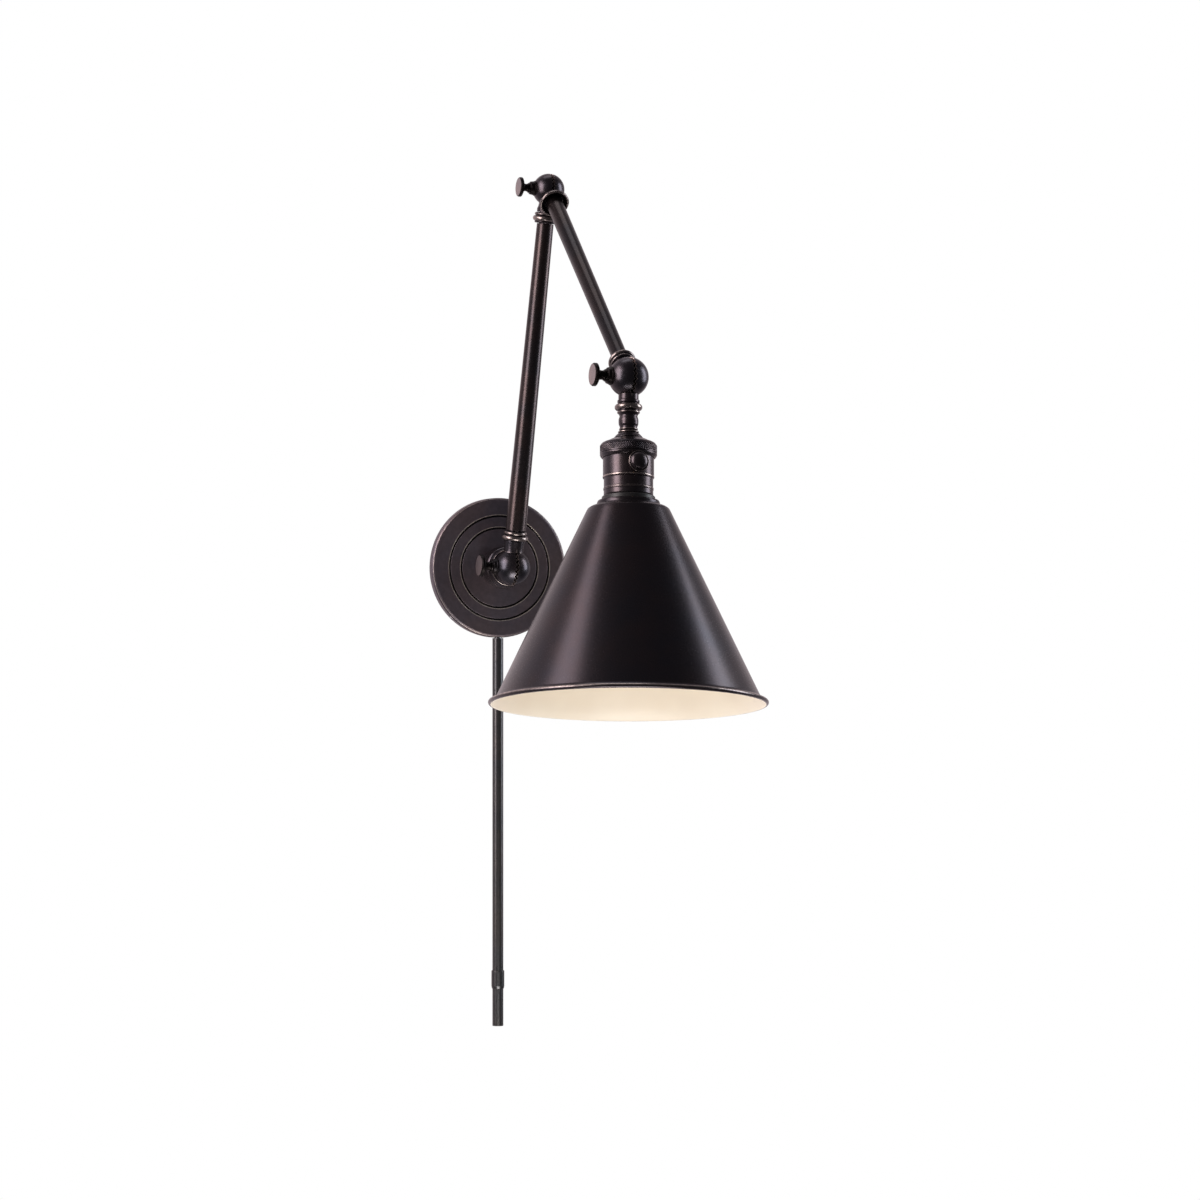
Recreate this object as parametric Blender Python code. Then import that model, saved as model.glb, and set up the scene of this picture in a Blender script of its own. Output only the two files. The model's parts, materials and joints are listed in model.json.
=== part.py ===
# Double-arm library wall light with a cone shade, as separate parts.
# Run with:  blender --background --python part.py
# Units are metres in the scene; the drawing dimensions below are in millimetres.
# The wall is the plane Y = 0, the light stands out towards -Y and +Z is up.
# Every arm is modelled along the local +Z of its own frame (an empty whose
# origin lies on the joint's axis); the clamp axis is the local X of that frame.

import math

import bmesh
import bpy
from mathutils import Matrix, Vector

MM = 0.001

# ---------------------------------------------------------------- dimensions
GAP = 0.3                    # running gap between touching pieces

# arm geometry at rest
POST_ROLL = 3.0              # roll of the arm plane about the wall normal, degrees
LOWER_ANGLE = 8.55           # lower arm, from straight up towards the room
UPPER_ANGLE = 127.7          # upper arm, same measure
HEAD_ANGLE = 171.87          # shade axis, same measure (180 hangs straight down)
LOWER_LENGTH = 322.0         # wall ball centre to elbow ball centre
UPPER_LENGTH = 280.0         # elbow ball centre to knuckle ball centre

# backplate
PLATE_R = 60.3
PLATE_DEPTH = 9.3
PLATE_WALL = 1.5
GROOVE_INNER_R = 34.4
GROOVE_OUTER_R = 44.8
BALL_STANDOFF = 34.9         # ball centre in front of the backplate's face

# split balls
WALL_BALL_R = 15.6
ELBOW_BALL_R = 13.4
KNUCKLE_BALL_R = 15.9
TEETH = 14
TOOTH_TIP = 0.2              # half the gap between the two halves' tooth tips
TOOTH_DEPTH = 1.1
SCREW_R = 2.0
RELIEF = 0.45                # gap between a neck and the half that it passes over

# arm tubes, outer radius at their two ends
LOWER_TUBE_R = (8.8, 7.1)
UPPER_TUBE_R = (7.1, 6.25)
TUBE_WALL = 1.2
LEAD_R = 2.6

# clamp screws: disc diameters, and the distance of the face from the joint
WALL_KNOB_D = 19.2
ELBOW_KNOB_D = 16.5
KNUCKLE_KNOB_D = 18.4
WALL_KNOB_FACE = 29.9
ELBOW_KNOB_FACE = 27.05
KNUCKLE_KNOB_FACE = 30.47

# socket and shade, distances measured down the head's axis from its ball
CAP_R = 22.4
SHELL_R = 20.0
SHADE_TOP = 98.8
SHADE_RIM = 259.0
SHADE_RIM_R = 108.58
SHADE_SHEET = 1.0
SHADE_SLOPE = 0.4762          # growth of the cone's radius per unit of height
SHADE_BASE = -18.08           # radius that the cone's line has at height 0
SWITCH_S = 71.0
SWITCH_KNOB_R = 8.25

# cord cover
COVER_R = 4.73
COVER_BORE = 3.7
COVER_Y = -4.85
COVER_COUPLER = (-347.6, -363.2)
COVER_END = -395.4
COUPLER_R = 5.6


# ------------------------------------------------------------------- helpers
def clear_scene():
    for obj in list(bpy.data.objects):
        bpy.data.objects.remove(obj, do_unlink=True)


def material(name, colour, rough, metal):
    mat = bpy.data.materials.new(name)
    mat.use_nodes = True
    shader = mat.node_tree.nodes["Principled BSDF"]
    shader.inputs["Base Color"].default_value = (*colour, 1.0)
    shader.inputs["Roughness"].default_value = rough
    shader.inputs["Metallic"].default_value = metal
    mat.diffuse_color = (*colour, 1.0)
    return mat


def frame(name, parent, loc, rot):
    empty = bpy.data.objects.new(name, None)
    bpy.context.scene.collection.objects.link(empty)
    empty.parent = parent
    empty.location = [v * MM for v in loc]
    empty.rotation_euler = rot
    return empty


def finish(name, bm, mat, parent, loc=(0, 0, 0), rot=(0, 0, 0), sharp=35.0):
    bmesh.ops.remove_doubles(bm, verts=bm.verts, dist=1e-7)
    bmesh.ops.recalc_face_normals(bm, faces=bm.faces)
    mesh = bpy.data.meshes.new(name)
    bm.to_mesh(mesh)
    bm.free()
    mesh.shade_smooth()
    mesh.set_sharp_from_angle(angle=math.radians(sharp))
    obj = bpy.data.objects.new(name, mesh)
    bpy.context.scene.collection.objects.link(obj)
    if mat is not None:
        mesh.materials.append(mat)
    obj.parent = parent
    obj.location = [v * MM for v in loc]
    obj.rotation_euler = rot
    return obj


def lathe_mesh(profile, segs):
    """Spin a profile of (radius, height) about Z. A profile that starts and ends
    on the axis makes a solid; any other is closed on itself and makes a ring."""
    bm = bmesh.new()
    verts = [bm.verts.new((r * MM, 0.0, z * MM)) for r, z in profile]
    edges = [bm.edges.new((a, b)) for a, b in zip(verts, verts[1:])]
    on_axis = profile[0][0] == 0.0 and profile[-1][0] == 0.0
    if not on_axis:
        edges.append(bm.edges.new((verts[-1], verts[0])))
    bmesh.ops.spin(bm, geom=verts + edges, cent=(0, 0, 0), axis=(0, 0, 1),
                   angle=2 * math.pi, steps=segs, use_merge=True,
                   use_duplicate=False)
    return bm


def lathe(name, profile, mat, parent, segs=24, loc=(0, 0, 0), rot=(0, 0, 0),
          sharp=35.0):
    return finish(name, lathe_mesh(profile, segs), mat, parent, loc, rot, sharp)


def cylinder(name, radius, z0, z1, parent, segs=20, loc=(0, 0, 0),
             rot=(0, 0, 0), mat=None):
    return lathe(name, [(0.0, z0), (radius, z0), (radius, z1), (0.0, z1)],
                 mat, parent, segs, loc, rot)


def helper(obj):
    """Mark an object as a tool shape that isn't part of the light."""
    obj.hide_render = True
    obj.display_type = 'WIRE'
    return obj


def boolean(obj, other, operation):
    mod = obj.modifiers.new(operation.lower(), 'BOOLEAN')
    mod.operation = operation
    mod.solver = 'EXACT'
    mod.object = other
    return mod


def arc(cr, cz, radius, a0, a1, steps):
    """Points of an arc in a profile, angles in degrees from +r towards +z."""
    out = []
    for i in range(steps + 1):
        a = math.radians(a0 + (a1 - a0) * i / steps)
        out.append((cr + radius * math.cos(a), cz + radius * math.sin(a)))
    return out


def half_ball_mesh(radius, side, through):
    """Half of a split ball, cut by the plane X = 0, with a toothed parting
    face, a pocket for the lead and the hole of the clamp screw along X."""
    count = TEETH * 2
    k = radius / WALL_BALL_R
    hole = SCREW_R + 0.4 if through else SCREW_R + 0.3
    valley = TOOTH_TIP + TOOTH_DEPTH
    pocket_r, pocket_x = 7.4 * k, 6.0 * k
    rows = []                                  # each row: list of (x, r)
    start = math.degrees(math.asin(hole / radius)) if through else 0.0
    lat = [start + (80.0 - start) * i / 3 for i in range(4)]
    for a in lat:
        rows.append([(radius * math.cos(math.radians(a)),
                      radius * math.sin(math.radians(a)))] * count)
    rim = []
    for j in range(count):
        x = TOOTH_TIP if j % 2 == 0 else valley
        rim.append((x, math.sqrt(radius * radius - x * x)))
    rows.append(rim)
    rows.append([(valley, radius * 0.70)] * count)
    rows.append([(valley, pocket_r)] * count)
    rows.append([(pocket_x, pocket_r)] * count)
    rows.append([(pocket_x, hole)] * count)
    if not through:
        rows.append([(radius - 3.2, hole)] * count)
        rows.append([(radius - 3.2, 0.0)] * count)
    bm = bmesh.new()
    grid = []
    for row in rows:
        line = []
        for j, (x, r) in enumerate(row):
            a = 2 * math.pi * j / count
            line.append(bm.verts.new((side * x * MM, r * math.cos(a) * MM,
                                      r * math.sin(a) * MM)))
        grid.append(line)
    loops = list(zip(grid, grid[1:]))
    if through:
        loops.append((grid[-1], grid[0]))
    for a, b in loops:
        for j in range(count):
            n = (j + 1) % count
            bm.faces.new((a[j], a[n], b[n], b[j]))
    bmesh.ops.remove_doubles(bm, verts=bm.verts, dist=1e-7)
    thin = [f for f in bm.faces if f.calc_area() < 1e-12]
    bmesh.ops.delete(bm, geom=thin, context='FACES')
    return bm


def relief_mesh(radius, side, segs=24):
    """Ball of the running clearance, on one side of the parting plane."""
    prof = arc(0.0, 0.0, radius, -90.0, 90.0, 10)
    prof[0], prof[-1] = (0.0, -radius), (0.0, radius)
    bm = lathe_mesh(prof, segs)
    bmesh.ops.remove_doubles(bm, verts=bm.verts, dist=1e-7)
    geom = bm.verts[:] + bm.edges[:] + bm.faces[:]
    cut = bmesh.ops.bisect_plane(bm, geom=geom, plane_co=(-side * 0.35 * MM, 0, 0),
                                 plane_no=(-side, 0, 0), clear_inner=False,
                                 clear_outer=True)
    edges = [e for e in cut["geom_cut"] if isinstance(e, bmesh.types.BMEdge)]
    bmesh.ops.contextual_create(bm, geom=edges)
    return bm


def half_ball(name, radius, side, neck, mat, parent, loc=(0, 0, 0), rot=(0, 0, 0),
              through=True, bore=(3.0, 40.0), segs=18):
    """One half with its neck. The neck is a lathe profile along the local +Z of
    the piece. Over the other half it stops short of the ball."""
    body = finish(name, half_ball_mesh(radius, side, through), mat, parent, loc, rot)
    # the neck's own clearance over the opposite half
    clear = helper(finish(name + "_clear", relief_mesh(radius + RELIEF, -side),
                          None, parent, loc, rot))
    stem = helper(lathe(name + "_stem", neck, None, parent, segs, loc, rot))
    boolean(stem, clear, 'DIFFERENCE')
    boolean(body, stem, 'UNION')
    hole = helper(cylinder(name + "_bore", bore[0], 5.0, bore[1], parent, 12,
                           loc, rot))
    boolean(body, hole, 'DIFFERENCE')
    return body


def bead(r, z, radius, steps=3):
    """Outer half of a round bead, from low z to high z."""
    return arc(r - radius, z, radius, -90.0, 90.0, steps)


def flip(profile, at):
    """Mirror a profile end for end, so that it runs back from height at."""
    return [(r, at - z) for r, z in profile]


def clamp_set(prefix, radius, knob_d, face, screw_parent, ferrule_parent, dark,
              light):
    """Thumb screw and the spool-shaped washer under it, on a ball's -X side."""
    k = radius / WALL_BALL_R
    seat = [(r, math.sqrt(radius * radius - r * r) + GAP)
            for r in (2.5, 4.6 * k + 0.3, 7.1 * k)]
    turn = (0.0, math.radians(-90.0), 0.0)
    ferrule = seat + [(7.5 * k, 15.2 * k), (7.3 * k, 16.8 * k), (5.6 * k, 18.4 * k),
                      (2.5, 18.4 * k)]
    lathe(prefix + "_clamp_ferrule", ferrule, dark, ferrule_parent, 20, (0, 0, 0),
          turn)
    half = knob_d / 2
    z = 18.4 * k + GAP
    screw = [(0.0, -(radius - 4.0)), (SCREW_R, -(radius - 4.0)), (SCREW_R, z),
             (5.0 * k, z), (4.3 * k, z + 1.4 * k), (3.9 * k, z + 3.2 * k),
             (4.4 * k, z + 5.0 * k), (half - 1.6 * k, face - 4.6 * k),
             (half, face - 3.6 * k), (half, face - 1.6 * k),
             (half - 0.9 * k, face - 0.5 * k), (half * 0.5, face), (0.0, face)]
    lathe(prefix + "_clamp_screw", screw, light, screw_parent, 22, (0, 0, 0), turn)


# ------------------------------------------------------------------ the model
def build():
    clear_scene()
    bronze = material("oil_rubbed_bronze", (0.065, 0.048, 0.045), 0.38, 0.9)
    dark = material("blackened_bronze", (0.025, 0.020, 0.020), 0.40, 0.9)
    face = material("worn_bronze", (0.32, 0.25, 0.24), 0.35, 0.9)
    steel = material("zinc_steel", (0.55, 0.55, 0.56), 0.35, 1.0)
    brass = material("brass", (0.70, 0.50, 0.22), 0.35, 1.0)
    black = material("black_phenolic", (0.020, 0.020, 0.022), 0.45, 0.0)
    fibre = material("fibre", (0.12, 0.08, 0.06), 0.8, 0.0)
    grey = material("cover_bronze", (0.075, 0.072, 0.072), 0.42, 0.8)
    cream = material("shade_bronze", (0.040, 0.034, 0.034), 0.35, 0.8)
    lead = material("lead_sheath", (0.030, 0.030, 0.030), 0.6, 0.0)

    root = frame("wall_frame", None, (0, 0, 0), (0, 0, 0))
    # local +Z of the plate frame points into the room, its zero is the face
    plate_frame = frame("plate_frame", root, (0, -PLATE_DEPTH, 0),
                        (math.radians(90.0), 0, 0))

    # backplate: pressed canopy with two turned grooves
    back = -PLATE_DEPTH
    inner = -PLATE_WALL
    prof = [(5.4, 0.0), (GROOVE_INNER_R - 0.8, 0.0), (GROOVE_INNER_R, -0.8),
            (GROOVE_INNER_R + 0.9, 0.0),
            (GROOVE_OUTER_R - 0.8, 0.0), (GROOVE_OUTER_R, -0.8),
            (GROOVE_OUTER_R + 0.9, 0.0),
            (PLATE_R - 1.4, 0.0), (PLATE_R - 0.4, -0.4), (PLATE_R, -1.4),
            (PLATE_R, back), (PLATE_R - PLATE_WALL, back),
            (PLATE_R - PLATE_WALL, inner - 1.0), (PLATE_R - PLATE_WALL - 1.0, inner),
            (5.4, inner)]
    plate = lathe("backplate", prof, bronze, plate_frame, 36)
    boolean(plate, helper(cylinder("cut_cord_hole", 3.4, 52.0, 66.0, root, 16,
                                   (0, COVER_Y, 0), (math.radians(180.0), 0, 0))),
            'DIFFERENCE')

    # crossbar: a strap with a turned-up tab at each end, set across at 45 degrees
    bar_frame = frame("bar_frame", root, (0, 0, 0), (0, math.radians(-45.0), 0))
    bm = bmesh.new()
    outline = [(-57.8, 0.0), (57.8, 0.0), (57.8, -6.8), (55.8, -6.8),
               (55.8, -2.0), (-55.8, -2.0), (-55.8, -6.8), (-57.8, -6.8)]
    verts = [bm.verts.new((x * MM, y * MM, -7.0 * MM)) for x, y in outline]
    strip = bm.faces.new(verts)
    pushed = bmesh.ops.extrude_face_region(bm, geom=[strip])
    moved = [v for v in pushed["geom"] if isinstance(v, bmesh.types.BMVert)]
    bmesh.ops.translate(bm, verts=moved, vec=(0, 0, 14.0 * MM))
    bar = finish("mounting_crossbar", bm, steel, bar_frame)
    for i, x in enumerate((-34.9, 34.9)):
        bm = bmesh.new()
        bmesh.ops.create_cube(bm, size=1.0, matrix=Matrix.Translation(
            (x * MM, -1.0 * MM, 0)) @ Matrix.Diagonal(
            (11.0 * MM, 6.0 * MM, 4.6 * MM, 1.0)))
        boolean(bar, helper(finish("cut_slot_%d" % i, bm, None, bar_frame)),
                'DIFFERENCE')
    for name, side in (("upper", 1), ("lower", -1)):
        turn = (0, math.radians(90.0 * side), 0)
        hole = helper(cylinder("cut_set_hole_" + name, 2.1, 50.0, 64.0, bar_frame, 14,
                               (0, -4.4, 0), turn))
        boolean(bar, hole, 'DIFFERENCE')
        boolean(plate, hole, 'DIFFERENCE')
        screw = cylinder("canopy_set_screw_" + name, 1.75, 54.0, 60.1, bar_frame, 14,
                         (0, -4.4, 0), turn, steel)
        bm = bmesh.new()
        bmesh.ops.create_cube(bm, size=1.0, matrix=Matrix.Translation(
            (side * 60.2 * MM, -4.4 * MM, 0)) @ Matrix.Diagonal(
            (1.4 * MM, 0.6 * MM, 5.0 * MM, 1.0)))
        boolean(screw, helper(finish("cut_driver_" + name, bm, None, bar_frame)),
                'DIFFERENCE')

    lathe("fibre_washer", [(5.5, 0.2), (12.2, 0.2), (12.2, 0.8), (5.5, 0.8)], fibre,
          plate_frame, 24)

    # cord cover, straight down the wall from the backplate's lower edge
    top = -PLATE_R - GAP - 0.1
    cy = (0, COVER_Y, 0)
    lathe("cord_cover_nipple",
          [(2.5, top + 4.0), (3.1, top + 4.0), (3.1, top - 9.0), (2.5, top - 9.0)],
          steel, root, 16, cy)
    lathe("cord_cover_upper_tube",
          [(COVER_BORE, top), (COVER_R, top), (COVER_R, COVER_COUPLER[0] - 7.0),
           (COVER_BORE, COVER_COUPLER[0] - 7.0)], grey, root, 20, cy)
    lathe("cord_cover_lower_tube",
          [(COVER_BORE, COVER_COUPLER[0] - 8.0), (COVER_R, COVER_COUPLER[0] - 8.0),
           (COVER_R, COVER_END), (COVER_BORE, COVER_END)], grey, root, 20, cy)
    # the coupler is a snap-on sleeve, open towards the wall
    sleeve = lathe("cord_cover_coupler",
                   [(COVER_R + 0.2, COVER_COUPLER[0]),
                    (COUPLER_R - 0.3, COVER_COUPLER[0]),
                    (COUPLER_R, COVER_COUPLER[0] - 0.4),
                    (COUPLER_R, COVER_COUPLER[1] + 2.2),
                    (COVER_R + 0.45, COVER_COUPLER[1]),
                    (COVER_R + 0.2, COVER_COUPLER[1])], grey, root, 20, cy)
    bm = bmesh.new()
    bmesh.ops.create_cube(bm, size=1.0, matrix=Matrix.Translation(
        (0, 4.2 * MM, sum(COVER_COUPLER) / 2 * MM)) @ Matrix.Diagonal(
        (14.0 * MM, 10.0 * MM, 30.0 * MM, 1.0)))
    boolean(sleeve, helper(finish("cut_coupler_back", bm, None, root)), 'DIFFERENCE')
    return dict(root=root, plate_frame=plate_frame, bronze=bronze, dark=dark,
                face=face, steel=steel, brass=brass, black=black, fibre=fibre,
                grey=grey, cream=cream, lead=lead)


def build_post(m):
    """Everything that turns about the wall normal with the post."""
    post = frame("post_frame", m["root"], (0, -PLATE_DEPTH, 0),
                 (0, math.radians(POST_ROLL), 0))
    out = frame("post_axis", post, (0, 0, 0), (math.radians(90.0), 0, 0))
    ball = BALL_STANDOFF
    seat_r = WALL_BALL_R + 0.5
    lip = ball - 8.0
    a_lip = math.degrees(math.acos(8.0 / seat_r))
    a_bore = math.degrees(math.asin(7.9 / seat_r))
    seat = []
    for i in range(5):
        a = math.radians(a_lip + (a_bore - a_lip) * i / 4)
        seat.append((seat_r * math.sin(a), ball - seat_r * math.cos(a)))
    cup = [(5.5, 1.0), (13.4, 1.0), (15.6, 2.4), (17.7, 6.0), (18.4, 10.5),
           (18.0, 15.5), (17.3, 20.0), (16.6, 20.8), (16.9, 21.6), (16.3, 25.0),
           (15.2, lip)] + seat + [(7.9, 9.0), (5.5, 9.0)]
    lathe("post_cup", cup, m["bronze"], out, 24)
    lathe("post_nipple", [(3.1, -5.6), (4.95, -5.6), (4.95, 16.6), (3.1, 16.6)],
          m["steel"], out, 18)
    lathe("post_washer", [(5.3, -1.8), (9.0, -1.8), (9.0, -2.7), (5.3, -2.7)],
          m["steel"], out, 20)
    nut = lathe("post_hex_nut", [(0.0, -3.0), (8.0, -3.0), (8.0, -5.5), (0.0, -5.5)],
                m["steel"], out, 6)
    boolean(nut, helper(cylinder("cut_nut", 5.2, -8.0, 0.0, out, 18)), 'DIFFERENCE')
    # right half of the first ball, on a stem that fills the cup's bore
    stem = [(0.0, 8.0), (7.5, 8.0), (7.5, 25.4), (0.0, 25.4)]
    centre = frame("wall_ball_frame", post, (0, -BALL_STANDOFF, 0), (0, 0, 0))
    rear = (math.radians(-90.0), 0, 0)
    half = half_ball("wall_ball_fixed_half", WALL_BALL_R, 1, stem, m["bronze"],
                     centre, (0, 0, 0), rear, through=False, bore=(2.9, 30.0))
    boolean(half, helper(cylinder("cut_nipple_seat", 5.25, 17.8, 30.0, centre, 18,
                                  (0, 0, 0), rear)), 'DIFFERENCE')
    return centre


def build_lower_arm(m, centre):
    low = frame("lower_arm_frame", centre, (0, 0, 0),
                (math.radians(LOWER_ANGLE), 0, 0))
    r0, r1 = LOWER_TUBE_R
    # neck of the first ball: waist, shoulder, then the spigot inside the tube
    neck = [(0.0, 8.0), (8.3, 8.0), (8.3, 14.6), (8.4, 18.0),
            (8.8, 22.9), (6.9, 22.9), (6.9, 40.0), (0.0, 40.0)]
    half_ball("wall_ball_arm_half", WALL_BALL_R, -1, neck, m["bronze"], low,
              bore=(3.1, 50.0))
    big = bead(11.3, 25.7, 2.2)
    small = bead(9.9, 29.7, 1.6)
    lathe("lower_arm_bottom_collar", [(7.2, 23.2)] + big + small +
          [(8.9, 32.0), (7.2, 32.0)], m["bronze"], low, 20)
    end = LOWER_LENGTH - 28.8
    lathe("lower_arm_tube", [(r0 - TUBE_WALL, 32.3), (r0, 32.3), (r1, end),
                             (r1 - TUBE_WALL, end)], m["bronze"], low, 24)
    # elbow end, measured back from the elbow's centre
    top = [(5.75, 19.3), (9.0, 19.3)] + bead(9.7, 20.7, 1.1, 2) + \
        bead(11.0, 24.4, 2.3) + [(8.6, 28.5), (5.75, 28.5)]
    lathe("lower_arm_top_collar", flip(top, LOWER_LENGTH), m["bronze"], low, 20)
    neck = [(0.0, 6.5), (7.0, 6.5), (7.0, 11.5), (7.4, 13.5), (8.1, 15.8),
            (8.1, 19.0), (5.4, 19.0), (5.4, 40.0), (0.0, 40.0)]
    half_ball("elbow_ball_lower_half", ELBOW_BALL_R, -1, neck, m["bronze"], low,
              (0, 0, LOWER_LENGTH), (math.radians(180.0), 0, 0), bore=(3.1, 50.0))
    cylinder("lower_arm_lead", LEAD_R, 20.0, LOWER_LENGTH - 20.0, low, 12, mat=m["lead"])
    return low


def build_upper_arm(m, low):
    up = frame("upper_arm_frame", low, (0, 0, LOWER_LENGTH),
               (math.radians(UPPER_ANGLE - LOWER_ANGLE), 0, 0))
    r0, r1 = UPPER_TUBE_R
    neck = [(0.0, 6.5), (5.9, 6.5), (5.9, 12.4), (6.2, 14.4),
            (5.3, 14.4), (5.3, 34.0), (0.0, 34.0)]
    half_ball("elbow_ball_upper_half", ELBOW_BALL_R, 1, neck, m["bronze"], up,
              through=False, bore=(3.1, 50.0))
    # flared collar with a hollow mouth, from which the tube comes out
    lathe("upper_arm_elbow_collar",
          [(5.6, 14.7), (7.6, 14.7), (8.9, 16.6), (11.2, 18.8), (12.3, 20.8),
           (12.5, 22.2), (11.7, 23.4), (10.7, 23.2), (9.8, 20.8), (8.4, 18.8),
           (5.6, 18.2)], m["bronze"], up, 20)
    end = UPPER_LENGTH - 24.2
    lathe("upper_arm_tube", [(r0 - TUBE_WALL, 18.9), (r0, 18.9), (r1, end),
                             (r1 - TUBE_WALL, end)], m["bronze"], up, 24)
    ring = [(4.6, 16.9), (8.6, 16.9)] + bead(10.0, 18.2, 1.2, 2) + \
        bead(11.0, 21.7, 2.1) + [(7.2, 23.9), (4.6, 23.9)]
    lathe("upper_arm_knuckle_collar", flip(ring, UPPER_LENGTH), m["bronze"], up, 20)
    neck = [(0.0, 8.0), (9.6, 8.0), (9.6, 13.2), (8.4, 15.0), (8.2, 16.6),
            (4.3, 16.6), (4.3, 36.0), (0.0, 36.0)]
    half_ball("knuckle_ball_arm_half", KNUCKLE_BALL_R, -1, neck, m["bronze"], up,
              (0, 0, UPPER_LENGTH), (math.radians(180.0), 0, 0), bore=(2.95, 50.0))
    cylinder("upper_arm_lead", 2.4, 18.0, UPPER_LENGTH - 20.0, up, 12, mat=m["lead"])
    return up


def build_head(m, up):
    head = frame("head_frame", up, (0, 0, UPPER_LENGTH),
                 (math.radians(HEAD_ANGLE - UPPER_ANGLE), 0, 0))
    neck = [(0.0, 8.0), (10.0, 8.0), (10.0, 13.0), (8.4, 15.4), (7.95, 17.0),
            (7.95, 18.2), (8.75, 18.9), (8.75, 20.4), (8.4, 21.2), (0.0, 21.2)]
    half = half_ball("knuckle_ball_head_half", KNUCKLE_BALL_R, 1, neck, m["bronze"],
                     head, through=False, bore=(2.9, 40.0))
    boolean(half, helper(cylinder("cut_head_nipple", 4.55, 16.6, 30.0, head, 16)),
            'DIFFERENCE')
    # turned neck: bead, two rings, barrel, two fine rings and a flange
    prof = [(4.55, 21.5), (8.6, 21.5), (9.9, 22.3), (10.9, 23.5), (10.9, 24.7),
            (9.9, 26.4), (8.7, 27.4), (8.9, 28.4), (8.3, 29.4), (6.95, 31.2),
            (7.75, 34.0), (7.85, 35.5), (7.7, 38.0), (6.9, 39.6), (7.4, 41.2),
            (7.4, 42.3), (6.95, 43.0), (8.2, 43.7), (8.3, 45.2), (9.1, 46.0),
            (10.2, 47.1), (11.2, 48.6), (4.55, 48.6)]
    lathe("turned_neck", prof, m["bronze"], head, 20)
    lathe("head_nipple", [(2.9, 16.9), (4.2, 16.9), (4.2, 54.6), (2.9, 54.6)],
          m["steel"], head, 16)

    # socket: knurled cap, shell, insulating sleeve and the moulded holder
    lathe("socket_cap", [(4.6, 48.9), (11.2, 48.9), (14.5, 50.2), (19.0, 52.2),
                         (21.0, 53.25), (22.0, 54.6), (CAP_R, 56.0), (CAP_R, 62.3),
                         (CAP_R - 0.5, 63.6), (CAP_R - 1.2, 64.6), (20.3, 64.6),
                         (20.3, 54.4), (16.8, 52.7), (4.6, 50.4)],
          m["bronze"], head, 24)
    shell = lathe("socket_shell",
                  [(SHELL_R - 0.8, 56.6), (SHELL_R, 56.6), (SHELL_R, 80.5),
                   (SHELL_R - 0.7, 81.5), (SHELL_R - 0.7, 88.2),
                   (SHELL_R - 0.3, 89.0), (SHELL_R - 0.3, 89.9),
                   (SHELL_R - 0.65, 90.6), (SHELL_R - 0.65, 94.2),
                   (SHELL_R - 1.0, 94.6), (SHELL_R - 1.25, 94.6),
                   (SHELL_R - 1.25, 82.0), (SHELL_R - 0.8, 80.4)],
                  m["bronze"], head, 24)
    liner = lathe("socket_liner", [(17.9, 55.4), (18.4, 55.4), (18.4, 82.0),
                                   (17.9, 82.0)], m["fibre"], head, 20)
    holder = lathe("lamp_holder",
                   [(4.4, 57.0), (17.5, 57.0), (17.5, 95.2), (20.2, 95.2),
                    (20.9, 95.9), (20.9, 98.5), (17.4, 98.5), (17.4, 106.0),
                    (14.4, 106.0), (14.4, 71.0), (4.4, 71.0)], m["black"], head, 20)
    lathe("lamp_screw_shell", [(13.2, 71.3), (13.9, 71.3), (13.9, 101.0),
                               (13.2, 101.0)], m["brass"], head, 18)
    lathe("lamp_centre_contact", [(0.0, 71.3), (6.4, 71.3), (6.4, 72.0), (2.8, 74.6),
                                  (0.0, 75.0)], m["brass"], head, 16)
    # shade: spun sheet with a stepped collar, a cone and a rim rolled outwards
    t = SHADE_SHEET
    slope = math.atan(SHADE_SLOPE)
    dx, dz = t * math.cos(slope), t * math.sin(slope)

    def cone(z):
        return (SHADE_BASE + SHADE_SLOPE * z, z)

    def inside(z):
        r = cone(z)[0]
        return (r - dx, z + dz)

    rim = [cone(254.9), (104.9, 255.9), (107.0, 255.6), (108.2, 256.2),
           (SHADE_RIM_R, 257.3), (108.2, 258.4), (107.0, SHADE_RIM), (105.6, 258.9),
           (103.7, 257.6)]
    prof = [(17.8, SHADE_TOP), (24.0, SHADE_TOP + 0.1), (24.6, SHADE_TOP + 1.5),
            (24.7, 102.2), (29.8, 103.9), (32.0, 105.4), cone(107.6)] + rim + \
        [inside(253.4), inside(108.3), (31.2, 106.3), (29.2, 104.9),
         (23.7, 103.2), (23.5, SHADE_TOP + 1.1), (17.8, SHADE_TOP + 1.1)]
    lathe("shade", prof, m["cream"], head, 36)
    lathe("shade_ring_nut", [(17.8, 100.2), (22.9, 100.2), (22.9, 105.0),
                             (17.8, 105.0)], m["black"], head, 20)
    return head, shell, liner, holder


def build_switch(m, head, shell, liner, holder):
    # turning switch on the side that faces the room:
    # in the head's frame +Z runs down the shade, so the room is towards +Y
    front = frame("switch_frame", head, (0, 0, SWITCH_S), (math.radians(-90.0), 0, 0))
    hole = helper(cylinder("cut_switch_hole", 3.0, 12.0, 26.0, front, 16))
    for obj in (shell, liner, holder):
        boolean(obj, hole, 'DIFFERENCE')
    cylinder("switch_shaft", 2.2, 15.2, 22.6, front, 14, mat=m["brass"])
    r = SWITCH_KNOB_R
    prof = [(0.0, 22.9), (r - 0.3, 22.9), (r, 23.3), (r, 23.9), (r - 0.5, 24.3),
            (r - 1.3, 24.4), (6.2, 26.0), (4.4, 27.4), (2.2, 28.2), (0.0, 28.5)]
    lathe("switch_knob", prof, m["bronze"], front, 20)


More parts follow.
